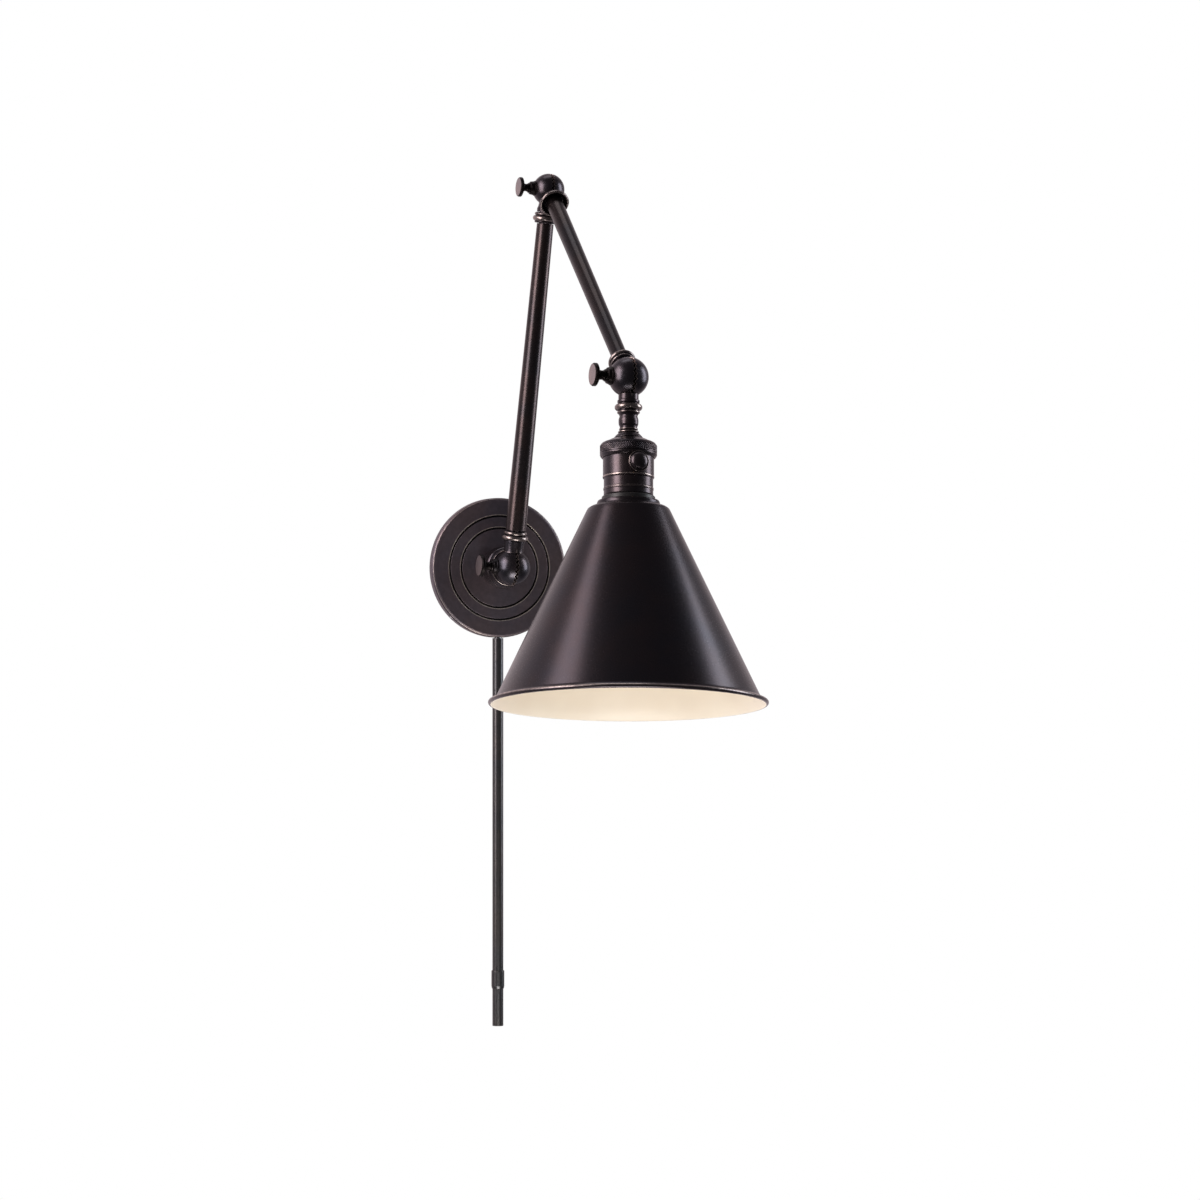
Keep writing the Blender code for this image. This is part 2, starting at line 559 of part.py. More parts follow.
def main():
    m = build()
    centre = build_post(m)
    low = build_lower_arm(m, centre)
    up = build_upper_arm(m, low)
    head, shell, liner, holder = build_head(m, up)
    build_switch(m, head, shell, liner, holder)
    elbow = frame("elbow_frame", low, (0, 0, LOWER_LENGTH), (0, 0, 0))
    knuckle = frame("knuckle_frame", up, (0, 0, UPPER_LENGTH), (0, 0, 0))
    clamp_set("wall", WALL_BALL_R, WALL_KNOB_D, WALL_KNOB_FACE, low, low,
              m["dark"], m["face"])
    clamp_set("elbow", ELBOW_BALL_R, ELBOW_KNOB_D, ELBOW_KNOB_FACE, elbow, elbow,
              m["dark"], m["face"])
    clamp_set("knuckle", KNUCKLE_BALL_R, KNUCKLE_KNOB_D, KNUCKLE_KNOB_FACE, knuckle,
              knuckle, m["dark"], m["face"])


main()
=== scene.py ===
# Looks of the double-arm library wall light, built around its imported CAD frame.
# Lengths in the profiles are millimetres; every piece is placed from the frame's
# own joints, and the axes below repeat the local frames of the CAD model.
import json
import math

import bmesh
import bpy
import numpy as np
from mathutils import Matrix, Vector


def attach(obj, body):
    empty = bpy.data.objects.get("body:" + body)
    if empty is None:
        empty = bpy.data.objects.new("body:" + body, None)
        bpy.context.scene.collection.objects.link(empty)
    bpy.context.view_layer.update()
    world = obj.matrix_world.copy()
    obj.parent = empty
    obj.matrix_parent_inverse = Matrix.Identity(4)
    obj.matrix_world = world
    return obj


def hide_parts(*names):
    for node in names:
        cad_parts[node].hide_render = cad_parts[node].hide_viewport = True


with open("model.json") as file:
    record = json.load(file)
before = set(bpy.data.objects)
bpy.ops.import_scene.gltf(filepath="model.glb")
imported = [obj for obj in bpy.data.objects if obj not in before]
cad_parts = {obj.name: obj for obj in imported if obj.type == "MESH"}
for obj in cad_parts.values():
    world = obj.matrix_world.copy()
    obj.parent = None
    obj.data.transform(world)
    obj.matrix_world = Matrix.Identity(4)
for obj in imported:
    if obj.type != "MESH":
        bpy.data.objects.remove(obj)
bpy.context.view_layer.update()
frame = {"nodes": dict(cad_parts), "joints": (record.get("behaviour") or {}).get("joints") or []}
MM = 0.001

JOINT = {j["name"]: j for j in frame["joints"]}
P1 = Vector(JOINT["lower_arm_tilt"]["pos_m"])
P2 = Vector(JOINT["elbow_tilt"]["pos_m"])
P3 = Vector(JOINT["shade_tilt"]["pos_m"])
AX = Vector(JOINT["lower_arm_tilt"]["axis"]).normalized()
SW = Vector(JOINT["switch_turn"]["pos_m"])
LOWER_LENGTH = (P2 - P1).length / MM
UPPER_LENGTH = (P3 - P2).length / MM


def axes(origin, z, x):
    """Matrix of a local frame in the row frame, metres."""
    z = z.normalized()
    y = z.cross(x).normalized()
    x = y.cross(z).normalized()
    m = Matrix((x, y, z)).transposed().to_4x4()
    m.translation = origin
    return m


PLATE = axes(Vector((0, -0.0093, 0)), Vector((0, -1, 0)), Vector((1, 0, 0)))
POST = axes(Vector((0, -0.0093, 0)), Vector((0, -1, 0)), AX)
ROOT = Matrix.Identity(4)
COVER = Matrix.Translation((0, -0.00485, 0))
WALL_BALL_BACK = axes(P1, Vector((0, 1, 0)), AX)
LOW = axes(P1, P2 - P1, AX)
LOW_END = axes(P2, P1 - P2, AX)
UP = axes(P2, P3 - P2, AX)
UP_END = axes(P3, P2 - P3, AX)
HEAD = axes(P3, SW - P3, AX)
SWITCH = axes(SW, Vector(JOINT["switch_turn"]["axis"]), AX)


def clamp_axes(point, around):
    """Clamp frames look along -X of the row: local Z runs out to the knob."""
    return axes(point, -AX, around)


# ---------------------------------------------------------------- camera, light
def look_from(loc, azimuth, lens):
    cam = bpy.data.objects.new("camera", bpy.data.cameras.new("camera"))
    bpy.context.scene.collection.objects.link(cam)
    cam.location = loc
    cam.rotation_euler = (math.radians(90.0), 0.0, math.radians(-azimuth))
    cam.data.lens = lens
    cam.data.sensor_width = 36.0
    cam.data.clip_start, cam.data.clip_end = 0.05, 60.0
    bpy.context.scene.camera = cam
    return cam


look_from((-0.96317, -2.98088, -0.02776), 19.55, 108.6)


def area(name, loc, target, size_x, size_y, power, colour=(1, 1, 1)):
    light = bpy.data.lights.new(name, 'AREA')
    light.shape = 'RECTANGLE'
    light.size, light.size_y = size_x, size_y
    light.energy = power
    light.color = colour
    obj = bpy.data.objects.new(name, light)
    bpy.context.scene.collection.objects.link(obj)
    obj.location = loc
    direction = Vector(target) - Vector(loc)
    obj.rotation_euler = direction.to_track_quat('-Z', 'Y').to_euler()
    return obj


AIM = (0.0, -0.2, 0.05)
area("soft_left", (-1.85, -0.70, 0.60), AIM, 0.9, 1.9, 30, (1.0, 0.91, 0.91))
area("soft_right", (1.85, -0.45, 0.45), AIM, 0.8, 1.6, 20, (0.90, 0.94, 1.0))
area("high_left", (-1.5, -0.06, 1.1), AIM, 0.7, 1.2, 9, (1.0, 0.89, 0.90))
area("soft_top", (0.0, 0.35, 2.0), AIM, 1.0, 0.6, 3)
area("shade_fill", (-0.10, -0.62, -0.70), (0.0, -0.34, 0.0), 0.5, 0.4, 4.6,
     (1.0, 0.97, 0.93))


def make_world():
    world = bpy.data.worlds.new("studio")
    bpy.context.scene.world = world
    world.use_nodes = True
    nt = world.node_tree
    nt.nodes.clear()
    out = nt.nodes.new("ShaderNodeOutputWorld")
    mix = nt.nodes.new("ShaderNodeMixShader")
    path = nt.nodes.new("ShaderNodeLightPath")
    seen = nt.nodes.new("ShaderNodeBackground")
    seen.inputs["Color"].default_value = (1.0, 1.0, 1.0, 1.0)
    seen.inputs["Strength"].default_value = 1.0
    lit = nt.nodes.new("ShaderNodeBackground")
    coord = nt.nodes.new("ShaderNodeTexCoord")
    split = nt.nodes.new("ShaderNodeSeparateXYZ")
    shift = nt.nodes.new("ShaderNodeMapRange")
    shift.inputs["From Min"].default_value = -1.0
    shift.inputs["From Max"].default_value = 1.0
    ramp = nt.nodes.new("ShaderNodeValToRGB")
    ramp.color_ramp.interpolation = 'EASE'
    els = ramp.color_ramp.elements
    els[0].position, els[0].color = 0.0, (0.030, 0.029, 0.033, 1)
    els[1].position, els[1].color = 1.0, (0.80, 0.68, 0.71, 1)
    e = els.new(0.42); e.color = (0.045, 0.043, 0.049, 1)
    e = els.new(0.70); e.color = (0.30, 0.27, 0.29, 1)
    nt.links.new(coord.outputs["Generated"], split.inputs[0])
    nt.links.new(split.outputs["Y"], shift.inputs["Value"])
    nt.links.new(shift.outputs[0], ramp.inputs["Fac"])
    nt.links.new(ramp.outputs["Color"], lit.inputs["Color"])
    lit.inputs["Strength"].default_value = 1.0
    nt.links.new(path.outputs["Is Camera Ray"], mix.inputs["Fac"])
    nt.links.new(lit.outputs[0], mix.inputs[1])
    nt.links.new(seen.outputs[0], mix.inputs[2])
    nt.links.new(mix.outputs[0], out.inputs["Surface"])


make_world()
scene = bpy.context.scene
scene.view_settings.view_transform = 'Standard'
scene.view_settings.look = 'None'
scene.view_settings.exposure = 0.0


# ------------------------------------------------------------------- materials
def principled(name):
    mat = bpy.data.materials.new(name)
    mat.use_nodes = True
    nt = mat.node_tree
    return mat, nt, nt.nodes["Principled BSDF"]


def noise(nt, coord, scale, detail=3.0, rough=0.55, dim=None):
    n = nt.nodes.new("ShaderNodeTexNoise")
    n.inputs["Scale"].default_value = scale
    n.inputs["Detail"].default_value = detail
    n.inputs["Roughness"].default_value = rough
    nt.links.new(coord, n.inputs["Vector"])
    return n.outputs["Fac"]


def ramp(nt, fac, stops):
    r = nt.nodes.new("ShaderNodeValToRGB")
    els = r.color_ramp.elements
    els[0].position, els[0].color = stops[0][0], (*stops[0][1], 1)
    els[1].position, els[1].color = stops[-1][0], (*stops[-1][1], 1)
    for p, c in stops[1:-1]:
        e = els.new(p)
        e.color = (*c, 1)
    nt.links.new(fac, r.inputs["Fac"])
    return r.outputs["Color"]


def maprange(nt, value, a, b, c, d):
    m = nt.nodes.new("ShaderNodeMapRange")
    for k, v in (("From Min", a), ("From Max", b), ("To Min", c), ("To Max", d)):
        m.inputs[k].default_value = v
    nt.links.new(value, m.inputs["Value"])
    return m.outputs[0]


def mathn(nt, op, a, b):
    m = nt.nodes.new("ShaderNodeMath")
    m.operation = op
    for i, v in enumerate((a, b)):
        if hasattr(v, "is_linked") or hasattr(v, "links"):
            nt.links.new(v, m.inputs[i])
        else:
            m.inputs[i].default_value = v
    return m.outputs[0]


def mixc(nt, fac, a, b):
    m = nt.nodes.new("ShaderNodeMix")
    m.data_type = 'RGBA'
    m.clamp_factor = True
    nt.links.new(fac, m.inputs[0])
    for i, v in ((6, a), (7, b)):
        if isinstance(v, tuple):
            m.inputs[i].default_value = (*v, 1)
        else:
            nt.links.new(v, m.inputs[i])
    return m.outputs[2]


def object_coord(nt, stretch=None):
    c = nt.nodes.new("ShaderNodeTexCoord").outputs["Object"]
    if stretch:
        m = nt.nodes.new("ShaderNodeMapping")
        m.inputs["Scale"].default_value = stretch
        nt.links.new(c, m.inputs["Vector"])
        c = m.outputs[0]
    return c


def bronze(name, base, warm, cool, copper=(0.56, 0.47, 0.43), rough=0.36,
           metal=0.9, bump=0.10, wear_gain=1.0, speck=0.5, coat=0.0, vary=1.0):
    """Oil-rubbed bronze: dark patina that drifts between a red-brown and a
    blue-black, a fine cast grain, and copper showing where hands rub the edges."""
    mat, nt, sh = principled(name)
    co = object_coord(nt)
    drift = ramp(nt, noise(nt, co, 28.0, 3.0), [(0.34, cool), (0.52, base), (0.70, warm)])
    fine = noise(nt, co, 950.0, 4.0, 0.6)
    grain = noise(nt, co, 260.0, 4.0, 0.6)
    speckle = maprange(nt, grain, 0.35, 0.75, 1.0 - 0.30 * speck, 1.0 + 0.35 * speck)
    tint = nt.nodes.new("ShaderNodeVectorMath")
    tint.operation = 'SCALE'
    nt.links.new(drift, tint.inputs[0])
    nt.links.new(speckle, tint.inputs["Scale"])
    attr = nt.nodes.new("ShaderNodeAttribute")
    attr.attribute_name = "wear"
    patch = maprange(nt, noise(nt, co, 420.0, 3.0, 0.65), 0.30, 0.62, 0.65, 1.10)
    broad = maprange(nt, noise(nt, co, 60.0, 2.0), 0.35, 0.65, 0.75, 1.1)
    wear = mathn(nt, 'MULTIPLY', mathn(nt, 'MULTIPLY', attr.outputs["Fac"], patch), broad)
    wear = maprange(nt, wear, 0.22, 0.95, 0.0, wear_gain)
    colour = mixc(nt, wear, tint.outputs[0], copper)
    nt.links.new(colour, sh.inputs["Base Color"])
    base_rough = maprange(nt, fine, 0.25, 0.75, rough - 0.05 * vary,
                          rough + 0.08 * vary)
    rub = maprange(nt, wear, 0.0, 1.0, 0.0, -0.08)
    nt.links.new(mathn(nt, 'ADD', base_rough, rub), sh.inputs["Roughness"])
    sh.inputs["Metallic"].default_value = metal
    if coat:
        sh.inputs["Coat Weight"].default_value = coat
        sh.inputs["Coat Roughness"].default_value = 0.22
    both = mathn(nt, 'ADD', mathn(nt, 'MULTIPLY', fine, 0.5), grain)
    b = nt.nodes.new("ShaderNodeBump")
    b.inputs["Strength"].default_value = bump
    b.inputs["Distance"].default_value = 0.0004
    nt.links.new(both, b.inputs["Height"])
    nt.links.new(b.outputs[0], sh.inputs["Normal"])
    return mat


def plain(name, colour, rough, metal, var=0.15, bump=0.05, scale=300.0, spec=None,
          coat=0.0):
    """A simpler procedural finish: mottled colour, uneven gloss and a fine grain."""
    mat, nt, sh = principled(name)
    co = object_coord(nt)
    g = noise(nt, co, scale, 4.0, 0.6)
    lo = tuple(c * (1 - var) for c in colour)
    hi = tuple(min(1.0, c * (1 + var)) for c in colour)
    nt.links.new(ramp(nt, g, [(0.3, lo), (0.7, hi)]), sh.inputs["Base Color"])
    nt.links.new(maprange(nt, noise(nt, co, scale * 3, 3.0), 0.3, 0.7, rough - 0.05,
                          rough + 0.07), sh.inputs["Roughness"])
    sh.inputs["Metallic"].default_value = metal
    if coat:
        sh.inputs["Coat Weight"].default_value = coat
        sh.inputs["Coat Roughness"].default_value = 0.15
    b = nt.nodes.new("ShaderNodeBump")
    b.inputs["Strength"].default_value = bump
    b.inputs["Distance"].default_value = 0.0003
    nt.links.new(g, b.inputs["Height"])
    nt.links.new(b.outputs[0], sh.inputs["Normal"])
    return mat


M_BRONZE = bronze("bronze_patina", (0.076, 0.064, 0.071), (0.088, 0.068, 0.071),
                  (0.062, 0.060, 0.073), rough=0.27, bump=0.05, speck=0.3)
M_PLATE = bronze("bronze_plate", (0.160, 0.128, 0.142), (0.174, 0.134, 0.142),
                 (0.140, 0.122, 0.144), copper=(0.88, 0.78, 0.69), rough=0.44,
                 bump=0.08, speck=0.35)
# This black bronze is also laid in the backplate grooves as painted shade.
M_BLACK_BRONZE_AND_GROOVE_SHADE = bronze("blackened_bronze", (0.026, 0.021, 0.021),
                        (0.034, 0.026, 0.024), (0.020, 0.019, 0.022), rough=0.34)
M_KNOB = bronze("rubbed_bronze", (0.36, 0.30, 0.30), (0.41, 0.32, 0.31),
                (0.31, 0.28, 0.30), rough=0.40, bump=0.05, speck=0.3)
M_TUBE = bronze("bronze_tube", (0.078, 0.060, 0.060), (0.092, 0.065, 0.062),
                (0.062, 0.055, 0.060), rough=0.28, bump=0.05, speck=0.3)
# A copy of the tube bronze at about half its colour, for the upper tube: painted shade.
M_TUBE_PAINTED_SHADE = bronze("bronze_tube_upper_painted_shade", (0.038, 0.030, 0.031), (0.046, 0.033, 0.032),
                      (0.030, 0.027, 0.031), rough=0.26, bump=0.04, speck=0.3)
M_COVER = bronze("cover_bronze", (0.105, 0.101, 0.103), (0.116, 0.106, 0.103),
                 (0.094, 0.096, 0.102), rough=0.30, bump=0.05, speck=0.3, metal=0.85)
M_SHADE = bronze("shade_bronze", (0.055, 0.046, 0.052), (0.062, 0.048, 0.052),
                 (0.048, 0.044, 0.053), rough=0.26, bump=0.004, speck=0.08, metal=0.85,
                 vary=0.25)
M_STEEL = plain("zinc_steel", (0.58, 0.58, 0.60), 0.34, 1.0, 0.12, 0.06, 500.0)
M_BRASS = plain("lamp_brass", (0.78, 0.56, 0.26), 0.28, 1.0, 0.10, 0.04, 400.0)
M_PHENOLIC = plain("black_phenolic", (0.022, 0.021, 0.022), 0.38, 0.0, 0.25, 0.08)
M_FIBRE = plain("vulcanised_fibre", (0.16, 0.10, 0.065), 0.75, 0.0, 0.2, 0.2)
M_LEAD = plain("lead_sheath", (0.03, 0.03, 0.03), 0.55, 0.0, 0.2, 0.1)


def enamel():
    mat, nt, sh = principled("cream_enamel")
    co = object_coord(nt)
    cloud = noise(nt, co, 22.0, 2.0)
    nt.links.new(ramp(nt, cloud, [(0.3, (0.87, 0.78, 0.65)), (0.7, (0.92, 0.84, 0.71))]),
                 sh.inputs["Base Color"])
    orange_peel = noise(nt, co, 700.0, 2.0)
    nt.links.new(maprange(nt, orange_peel, 0.3, 0.7, 0.36, 0.48), sh.inputs["Roughness"])
    b = nt.nodes.new("ShaderNodeBump")
    b.inputs["Strength"].default_value = 0.06
    b.inputs["Distance"].default_value = 0.0003
    nt.links.new(orange_peel, b.inputs["Height"])
    nt.links.new(b.outputs[0], sh.inputs["Normal"])
    return mat


M_ENAMEL = enamel()


# ------------------------------------------------------------------ mesh makers
def rounded(points, steps=5, ease=0.18):
    """Turns corner points (r, z[, fillet[, wear]]) into a dense profile. A corner
    with a fillet becomes an arc; each end of the arc has a support point, so that
    flats keep flat shading. Returns a list of (r, z, wear)."""
    pts = [(p[0], p[1], p[2] if len(p) > 2 else 0.0, p[3] if len(p) > 3 else 0.0)
           for p in points]
    closed = not (pts[0][0] == 0.0 and pts[-1][0] == 0.0)
    n = len(pts)
    out = []
    for i, (r, z, rad, wear) in enumerate(pts):
        if not closed and i in (0, n - 1) or rad <= 0:
            out.append((r, z, wear))
            continue
        a = Vector((pts[i - 1][0], pts[i - 1][1]))
        b = Vector((r, z))
        c = Vector((pts[(i + 1) % n][0], pts[(i + 1) % n][1]))
        u, v = (a - b), (c - b)
        lu, lv = u.length, v.length
        if lu < 1e-6 or lv < 1e-6:
            out.append((r, z, wear))
            continue
        u.normalize()
        v.normalize()
        ang = u.angle(v)
        if ang > math.radians(176):
            out.append((r, z, wear))
            continue
        t = rad / math.tan(ang / 2)
        lim = 0.46 * min(lu, lv)
        if t > lim:
            t = lim
        rad2 = t * math.tan(ang / 2)
        bis = (u + v).normalized()
        centre = b + bis * (rad2 / math.sin(ang / 2))
        s, e = b + u * t, b + v * t
        if lu - t > 2.5 * ease:
            q = b + u * (t + ease)
            out.append((q.x, q.y, 0.25 * wear))
        d0, d1 = (s - centre), (e - centre)
        total = d0.angle_signed(d1)
        for k in range(steps + 1):
            f = k / steps
            w = d0.copy()
            w.rotate(Matrix.Rotation(-total * f, 2))
            p = centre + w
            out.append((p.x, p.y, wear * (0.7 + 0.3 * math.sin(math.pi * f))))
        if lv - t > 2.5 * ease:
            q = b + v * (t + ease)
            out.append((q.x, q.y, 0.25 * wear))
    return out


def arc(cr, cz, radius, a0, a1, steps, wear=0.0):
    out = []
    for i in range(steps + 1):
        f = i / steps
        a = math.radians(a0 + (a1 - a0) * f)
        out.append((cr + radius * math.cos(a), cz + radius * math.sin(a), 0.0,
                    wear * math.sin(math.pi * f)))
    return out


def bead(r, z, radius, wear=0.55, steps=14, squash=1.0):
    """Outer half of a turned bead, low z to high z; its crest is worn."""
    pts = arc(r - radius * squash, 0.0, radius, -88.0, 88.0, steps, wear)
    c = r - radius * squash
    return [(c + (p[0] - c) * squash, z + p[1], 0.0, p[3]) for p in pts]


def new_object(name, mesh, mats, smooth=38.0):
    for m in mats:
        mesh.materials.append(m)
    mesh.shade_smooth()
    mesh.set_sharp_from_angle(angle=math.radians(smooth))
    obj = bpy.data.objects.new(name, mesh)
    bpy.context.scene.collection.objects.link(obj)
    return obj


def set_wear(mesh, values):
    layer = mesh.attributes.get("wear") or mesh.attributes.new("wear", 'FLOAT', 'POINT')
    layer.data.foreach_set("value", np.asarray(values, dtype=np.float32))


def lathe(name, points, mats, matrix, segs=128, smooth=38.0, raw=False, displace=None,
          face_mat=None, steps=5):
    """Spin a rounded profile about local Z. matrix places it in the row frame.
    displace(phi, i, r, z) may return a change of radius; face_mat(i) picks the
    material of the band after profile point i."""
    prof = [(p[0], p[1], p[3] if len(p) > 3 else 0.0) for p in points] if raw \
        else rounded(points, steps)
    on_axis = prof[0][0] == 0.0 and prof[-1][0] == 0.0
    verts, wear, rings = [], [], []
    for i, (r, z, w) in enumerate(prof):
        if r == 0.0:
            rings.append([len(verts)] * segs)
            verts.append((0.0, 0.0, z * MM))
            wear.append(w)
            continue
        ring = []
        for j in range(segs):
            a = 2 * math.pi * j / segs
            rr = r + (displace(a, i, r, z) if displace else 0.0)
            ring.append(len(verts))
            verts.append((rr * math.cos(a) * MM, rr * math.sin(a) * MM, z * MM))
            wear.append(w)
        rings.append(ring)
    faces, mat_ids = [], []
    pairs = list(zip(range(len(rings)), range(1, len(rings))))
    if not on_axis:
        pairs.append((len(rings) - 1, 0))
    for a, b in pairs:
        for j in range(segs):
            n = (j + 1) % segs
            quad = [rings[a][j], rings[a][n], rings[b][n], rings[b][j]]
            face = [v for k, v in enumerate(quad) if v not in quad[:k]]
            if len(face) > 2:
                faces.append(face)
                mat_ids.append(face_mat(a) if face_mat else 0)
    mesh = bpy.data.meshes.new(name)
    mesh.from_pydata(verts, [], faces)
    if face_mat:
        mesh.polygons.foreach_set("material_index", mat_ids)
    bm = bmesh.new()
    bm.from_mesh(mesh)
    bmesh.ops.recalc_face_normals(bm, faces=bm.faces)
    if bm.calc_volume(signed=True) < 0:
        bmesh.ops.reverse_faces(bm, faces=bm.faces)
    bm.to_mesh(mesh)
    bm.free()
    set_wear(mesh, wear)
    mesh.transform(matrix)
    mesh.update()
    return new_object(name, mesh, mats if isinstance(mats, (list, tuple)) else [mats],
                      smooth)


def apply_modifiers(obj):
    """Replace obj's mesh with what its modifiers make of it."""
    dg = bpy.context.evaluated_depsgraph_get()
    made = bpy.data.meshes.new_from_object(obj.evaluated_get(dg))
    obj.modifiers.clear()
    obj.data = made
    return obj


def cut(obj, tools, smooth=38.0, operation='DIFFERENCE'):
    for t in tools:
        m = obj.modifiers.new("cut", 'BOOLEAN')
        m.operation = operation
        m.solver = 'EXACT'
        m.object = t
    apply_modifiers(obj)
    for t in tools:
        bpy.data.objects.remove(t, do_unlink=True)
    obj.data.shade_smooth()
    obj.data.set_sharp_from_angle(angle=math.radians(smooth))
    return obj


def block(name, matrix, lo, hi):
    mesh = bpy.data.meshes.new(name)
    bm = bmesh.new()
    c = [(a + b) / 2 * MM for a, b in zip(lo, hi)]
    s = [(b - a) * MM for a, b in zip(lo, hi)]
    bmesh.ops.create_cube(bm, size=1.0, matrix=Matrix.Translation(c) @
                          Matrix.Diagonal((*s, 1.0)))
    bm.to_mesh(mesh)
    bm.free()
    mesh.transform(matrix)
    return new_object(name, mesh, [])


def place(obj, body, slot, *nodes):
    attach(obj, body)
    if nodes:
        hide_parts(*nodes)
    return obj


# ------------------------------------------------------------------ split balls
TEETH = 24


def tooth(f):
    """Height of the tooth line, 0 at a tip and 1 in a valley, over one pitch."""
    f = abs((f % 1.0) * 2.0 - 1.0)
    return min(1.0, max(0.0, (f - 0.10) / 0.80))


def ball_cutter(matrix, radius, side):
    """Room of the opposite half: a toothed half ball on the other side."""
    rc = radius + 0.45
    count = TEETH * 8
    rows = []
    depth = 1.9
    out, up = Vector((0, -1, 0)), AX.cross(Vector((0, -1, 0))).normalized()
    xs = []
    for j in range(count):
        a = 2 * math.pi * j / count
        d = matrix.to_3x3() @ Vector((0.0, math.cos(a), math.sin(a)))
        turn = math.atan2(d.dot(up), d.dot(out)) / (2 * math.pi) * TEETH
        xs.append(side * (0.2 + depth * tooth(turn + (0.5 if side > 0 else 0.0))))
    rows.append([(side * 0.25, 0.0)] * count)
    rows.append([(side * 0.25, radius * 0.72)] * count)
    rows.append([(x, rc + 0.05) for x in xs])
    for k in range(1, 13):
        a = math.radians(90.0 * k / 12)
        rows.append([(-side * rc * math.sin(a), rc * math.cos(a))] * count)
    mesh = bpy.data.meshes.new("cutter")
    bm = bmesh.new()
    grid = []
    for row in rows:
        line = []
        for j, (x, r) in enumerate(row):
            a = 2 * math.pi * j / count
            line.append(bm.verts.new((x * MM, r * math.cos(a) * MM,
                                      r * math.sin(a) * MM)))
        grid.append(line)
    for p, q in zip(grid, grid[1:]):
        for j in range(count):
            n = (j + 1) % count
            bm.faces.new((p[j], p[n], q[n], q[j]))
    bmesh.ops.remove_doubles(bm, verts=bm.verts, dist=1e-7)
    bmesh.ops.delete(bm, geom=[f for f in bm.faces if f.calc_area() < 1e-13],
                     context='FACES')
    bmesh.ops.recalc_face_normals(bm, faces=bm.faces)
    bm.to_mesh(mesh)
    bm.free()
    mesh.transform(matrix)
    return new_object("cutter", mesh, [])


def ball_profile(radius, neck_r, fillet, tail):
    """Ball, a fillet that runs tangent into the neck, and the neck's own tail of
    (r, z, fillet, wear) points, ending on the axis."""
    cr = neck_r + fillet
    cz = math.sqrt((radius + fillet) ** 2 - cr ** 2)
    touch = math.degrees(math.atan2(cz, cr))
    pts = [(0.0, -radius, 0, 0)]
    steps = 60
    for k in range(1, steps + 1):
        a = -90.0 + (touch + 90.0) * k / steps
        pts.append((radius * math.cos(math.radians(a)),
                    radius * math.sin(math.radians(a)), 0, 0))
    start = 180.0 + touch
    for k in range(1, 13):
        a = start + (180.0 - start) * k / 12
        pts.append((cr + fillet * math.cos(math.radians(a)),
                    cz + fillet * math.sin(math.radians(a)), 0, 0))
    return pts + tail


def split_half(name, matrix, radius, side, neck_r, fillet, tail, body, node, mat):
    pts = ball_profile(radius, neck_r, fillet, tail)
    obj = lathe(name, pts, mat, matrix, segs=160)
    cut(obj, [ball_cutter(matrix, radius, side)], 34.0)
    inv = matrix.inverted()
    wear = []
    for v in obj.data.vertices:
        p = inv @ v.co / MM
        w = 0.0
        if p.length < radius + 1.0 and p.length > radius - 1.4:
            w = max(0.0, 1.0 - (abs(p.x) - 0.2) / 1.0) * 0.9
        if p.length > radius + 0.2 and abs(p.length - radius - 0.45) < 0.12:
            w = max(w, 0.5)
        wear.append(w)
    for poly in obj.data.polygons:        # crisp worn line along the teeth
        c = inv @ poly.center / MM
        if c.length < radius - 0.12 and abs(c.x) < 2.5:
            for i in poly.vertices:
                q = inv @ obj.data.vertices[i].co / MM
                if abs(q.length - radius) < 0.06:
                    wear[i] = max(wear[i], 0.85)
    set_wear(obj.data, wear)
    return place(obj, body, "bronze", node)


def sphere_seat(r, radius, gap=0.25):
    return math.sqrt(max(0.0, radius * radius - r * r)) + gap


def clamp(prefix, point, around, radius, knob_d, f, body_screw, body_ferrule):
    """Thumb screw and the dark spool under it, on the -X side of a split ball."""
    k = radius / 15.6
    e = f - 29.9 * k                      # the elbow's spool is drawn out longer
    m = clamp_axes(point, around)
    r0, r1 = 2.4, 7.3 * k
    seat = [(r, sphere_seat(r, radius), 0, 0)
            for r in (r0 + (r1 - r0) * i / 8 for i in range(9))]
    ferrule = seat + [(7.4 * k, 14.8 * k, 0.4 * k, 0.25), (6.8 * k, 15.7 * k, 0.3, 0.2),
                      (6.2 * k, 17.7 * k + e, 0.5, 0.15),
                      (5.0 * k, 18.5 * k + e, 0.5, 0),
                      (4.8 * k, 19.6 * k + e, 0.25, 0.15),
                      (r0, 19.6 * k + e, 0.1, 0)]
    obj = lathe(prefix + "_ferrule", ferrule, M_BLACK_BRONZE_AND_GROOVE_SHADE, m, 96)
    place(obj, body_ferrule, "dark_bronze", prefix + "_clamp_ferrule")
    h = knob_d / 2
    z = 19.6 * k + e + 0.2
    prof = [(0.0, -(radius - 4.2)), (1.9, -(radius - 4.2), 0.2), (1.9, z, 0.2),
            (4.3 * k, z, 0.3, 0.1), (3.55 * k, z + 1.8 * k, 0.8, 0),
            (3.9 * k, f - 5.4 * k, 0.9, 0), (6.4 * k, f - 4.4 * k, 0.5, 0),
            (h - 1.2 * k, f - 3.9 * k, 0.5, 0), (h, f - 3.2 * k, 0.4, 0.1),
            (h, f - 1.2 * k, 0.4, 0.1), (h - 0.6 * k, f - 0.3 * k, 0.3, 0.1),
            (h - 1.0 * k, f - 0.1, 0.1, 0), (h * 0.55, f - 0.03, 0, 0), (0.0, f)]
    obj = lathe(prefix + "_knob", prof, [M_BLACK_BRONZE_AND_GROOVE_SHADE, M_KNOB], m, 112,
                face_mat=lambda i: 0)
    # the disc's outer face is rubbed bright, the rest of the spool stays black
    inv = m.inverted()
    for p in obj.data.polygons:
        c = inv @ p.center / MM
        if c.z > f - 0.14 and math.hypot(c.x, c.y) < h - 0.9 * k:
            p.material_index = 1
    place(obj, body_screw, "worn_bronze", prefix + "_clamp_screw")


